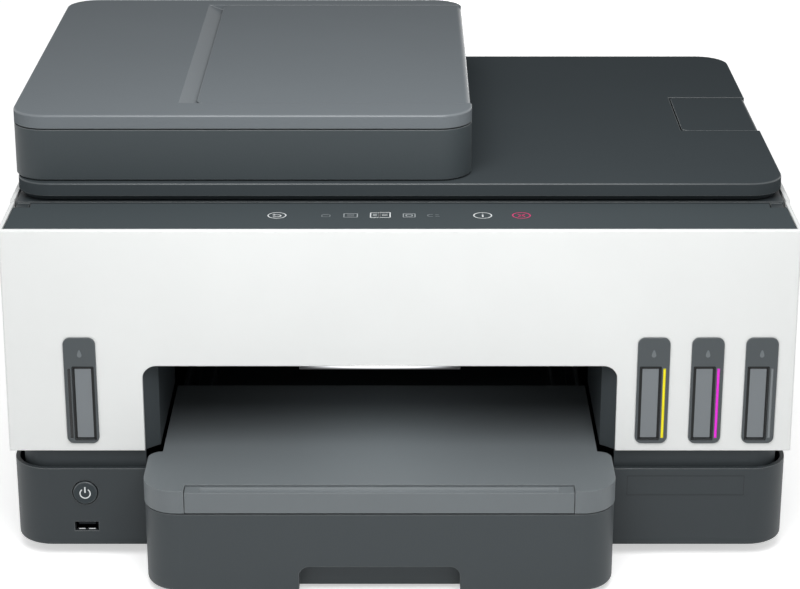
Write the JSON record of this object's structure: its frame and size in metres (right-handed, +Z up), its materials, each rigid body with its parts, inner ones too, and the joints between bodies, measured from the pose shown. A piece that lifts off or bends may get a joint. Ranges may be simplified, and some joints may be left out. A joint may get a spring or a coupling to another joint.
{
  "type": "inkjet printer",
  "caption": "Ink-tank inkjet printer, scanner and copier with a sheet feeder on the lid, white body, charcoal base and pull-out paper drawer",
  "frame": {"origin": "middle of the footprint on the table, closed", "axes": "+X to the right seen from the front, +Y to the back, +Z up"},
  "size_m": [0.45, 0.386, 0.251],
  "materials": {
    "charcoal": "fine moulded grain",
    "tray_charcoal": "fine moulded grain",
    "lid_charcoal": "fine moulded grain",
    "dark_inner": "plain matt",
    "white_shell": "satin",
    "panel_dark": "satin",
    "bezel_grey": "satin",
    "window_grey": "clear tinted",
    "mid_grey": "fine moulded grain",
    "cover_grey": "fine moulded grain",
    "foot_rubber": "matt",
    "roller_rubber": "matt ground",
    "scan_glass": "polished",
    "bright_steel": "brushed",
    "port_steel": "dull plated",
    "pad_white": "foam sheet",
    "head_plastic": "satin",
    "lamp_white": "diffuser",
    "board_green": "solder mask",
    "tank_clear": "translucent",
    "strip_black": "plain",
    "strip_yellow": "plain",
    "strip_magenta": "plain",
    "strip_cyan": "plain",
    "cap_black": "plain",
    "cap_yellow": "plain",
    "cap_magenta": "plain",
    "cap_cyan": "plain"
  },
  "bodies": {
    "case": {"base_tub": "charcoal", "rubber_feet": "foot_rubber", "inner_frame": "dark_inner", "side_panel_left": "white_shell", "side_panel_right": "white_shell", "rear_cover": "charcoal", "scanner_bed": "charcoal", "scanner_glass": "scan_glass", "scan_rail": "bright_steel", "lid_hinge_brackets": "dark_inner", "carriage_rail": "bright_steel", "platen": "dark_inner", "bay_lamp": "lamp_white", "front_usb_port": "port_steel", "rear_usb_port": "bright_steel", "power_inlet": "dark_inner", "main_board": "board_green", "ink_tank_black": "tank_clear", "ink_tank_yellow": "tank_clear", "ink_tank_magenta": "tank_clear", "ink_tank_cyan": "tank_clear"},
    "front_door": {"front_door": "white_shell", "control_panel": "panel_dark", "window_bezels": "bezel_grey", "level_windows": "window_grey", "door_pins": "bright_steel", "level_strip_black": "strip_black", "level_strip_yellow": "strip_yellow", "level_strip_magenta": "strip_magenta", "level_strip_cyan": "strip_cyan"},
    "scanner_lid": {"scanner_lid": "lid_charcoal", "lid_pad": "pad_white", "feeder_body": "lid_charcoal"},
    "feeder_cover": {"feeder_cover": "cover_grey"},
    "input_tray_flap": {"input_tray_flap": "cover_grey"},
    "paper_stop": {"paper_stop": "lid_charcoal"},
    "feeder_roller": {"feeder_roller": "roller_rubber"},
    "sheet_guide_front": {"sheet_guide_front": "charcoal"},
    "sheet_guide_back": {"sheet_guide_back": "charcoal"},
    "paper_tray": {"paper_tray": "tray_charcoal", "output_tray": "mid_grey"},
    "output_extender": {"output_extender": "mid_grey"},
    "paper_guide_left": {"paper_guide_left": "dark_inner"},
    "paper_guide_right": {"paper_guide_right": "dark_inner"},
    "length_guide": {"length_guide": "dark_inner"},
    "carriage": {"carriage": "dark_inner", "printhead_black": "head_plastic", "printhead_colour": "head_plastic"},
    "scan_bar": {"scan_bar": "dark_inner"},
    "feed_roller": {"feed_roller": "roller_rubber"},
    "exit_roller": {"exit_roller": "roller_rubber"},
    "power_button": {"power_button": "tray_charcoal"},
    "tank_cap_black": {"tank_cap_black": "cap_black"},
    "tank_cap_yellow": {"tank_cap_yellow": "cap_yellow"},
    "tank_cap_magenta": {"tank_cap_magenta": "cap_magenta"},
    "tank_cap_cyan": {"tank_cap_cyan": "cap_cyan"}
  },
  "joints": [
    {"name": "door_hinge", "type": "hinge", "parent": "case", "child": "front_door", "pos_m": [0, -0.0945, 0.1965], "axis": [-1, 0, 0], "range_deg": [0, 60]},
    {"name": "lid_hinge", "type": "hinge", "parent": "case", "child": "scanner_lid", "pos_m": [0, 0.183, 0.2046], "axis": [-1, 0, 0], "range_deg": [0, 75]},
    {"name": "cover_hinge", "type": "hinge", "parent": "scanner_lid", "child": "feeder_cover", "pos_m": [-0.2222, 0.01, 0.2443], "axis": [0, -1, 0], "range_deg": [0, 65]},
    {"name": "input_hinge", "type": "hinge", "parent": "feeder_cover", "child": "input_tray_flap", "pos_m": [0.0375, 0.058, 0.2468], "axis": [0, 1, 0], "range_deg": [0, 150]},
    {"name": "stop_hinge", "type": "hinge", "parent": "scanner_lid", "child": "paper_stop", "pos_m": [0.219, 0.053, 0.2089], "axis": [0, 1, 0], "range_deg": [0, 105]},
    {"name": "feeder_roller_spin", "type": "hinge", "parent": "scanner_lid", "child": "feeder_roller", "pos_m": [-0.1603, 0.055, 0.2284], "axis": [0, 1, 0], "continuous": true},
    {"name": "sheet_guide_front_slide", "type": "slide", "parent": "scanner_lid", "child": "sheet_guide_front", "axis": [0, 1, 0], "range_m": [0, 0.05]},
    {"name": "sheet_guide_back_slide", "type": "slide", "parent": "scanner_lid", "child": "sheet_guide_back", "axis": [0, -1, 0], "range_m": [0, 0.05]},
    {"name": "tray_slide", "type": "slide", "parent": "case", "child": "paper_tray", "axis": [0, -1, 0], "range_m": [0, 0.22]},
    {"name": "extender_slide", "type": "slide", "parent": "paper_tray", "child": "output_extender", "axis": [0, -1, 0], "range_m": [0, 0.11]},
    {"name": "guide_left_slide", "type": "slide", "parent": "paper_tray", "child": "paper_guide_left", "axis": [1, 0, 0], "range_m": [0, 0.055]},
    {"name": "guide_right_slide", "type": "slide", "parent": "paper_tray", "child": "paper_guide_right", "axis": [-1, 0, 0], "range_m": [0, 0.055]},
    {"name": "length_guide_slide", "type": "slide", "parent": "paper_tray", "child": "length_guide", "axis": [0, 1, 0], "range_m": [0, 0.09]},
    {"name": "carriage_slide", "type": "slide", "parent": "case", "child": "carriage", "axis": [-1, 0, 0], "range_m": [0, 0.27]},
    {"name": "scan_slide", "type": "slide", "parent": "case", "child": "scan_bar", "axis": [1, 0, 0], "range_m": [0, 0.32]},
    {"name": "feed_spin", "type": "hinge", "parent": "case", "child": "feed_roller", "pos_m": [0, 0.029, 0.096], "axis": [1, 0, 0], "continuous": true},
    {"name": "exit_spin", "type": "hinge", "parent": "case", "child": "exit_roller", "pos_m": [0, -0.0285, 0.096], "axis": [1, 0, 0], "continuous": true},
    {"name": "power_press", "type": "slide", "parent": "case", "child": "power_button", "axis": [0, 1, 0], "range_m": [0, 0.0012], "stiffness_N_per_m": 900, "springref_m": -0.0006},
    {"name": "cap_hinge_black", "type": "hinge", "parent": "case", "child": "tank_cap_black", "pos_m": [-0.1819, -0.103, 0.129], "axis": [-1, 0, 0], "range_deg": [0, 80]},
    {"name": "cap_hinge_yellow", "type": "hinge", "parent": "case", "child": "tank_cap_yellow", "pos_m": [0.14405, -0.103, 0.129], "axis": [-1, 0, 0], "range_deg": [0, 80]},
    {"name": "cap_hinge_magenta", "type": "hinge", "parent": "case", "child": "tank_cap_magenta", "pos_m": [0.1747, -0.103, 0.129], "axis": [-1, 0, 0], "range_deg": [0, 80]},
    {"name": "cap_hinge_cyan", "type": "hinge", "parent": "case", "child": "tank_cap_cyan", "pos_m": [0.20535, -0.103, 0.129], "axis": [-1, 0, 0], "range_deg": [0, 80]}
  ],
  "couplings": [
    {"joint": "sheet_guide_back_slide", "follows": "sheet_guide_front_slide", "ratio": 1},
    {"joint": "guide_right_slide", "follows": "guide_left_slide", "ratio": 1},
    {"joint": "exit_spin", "follows": "feed_spin", "ratio": 1.4}
  ]
}
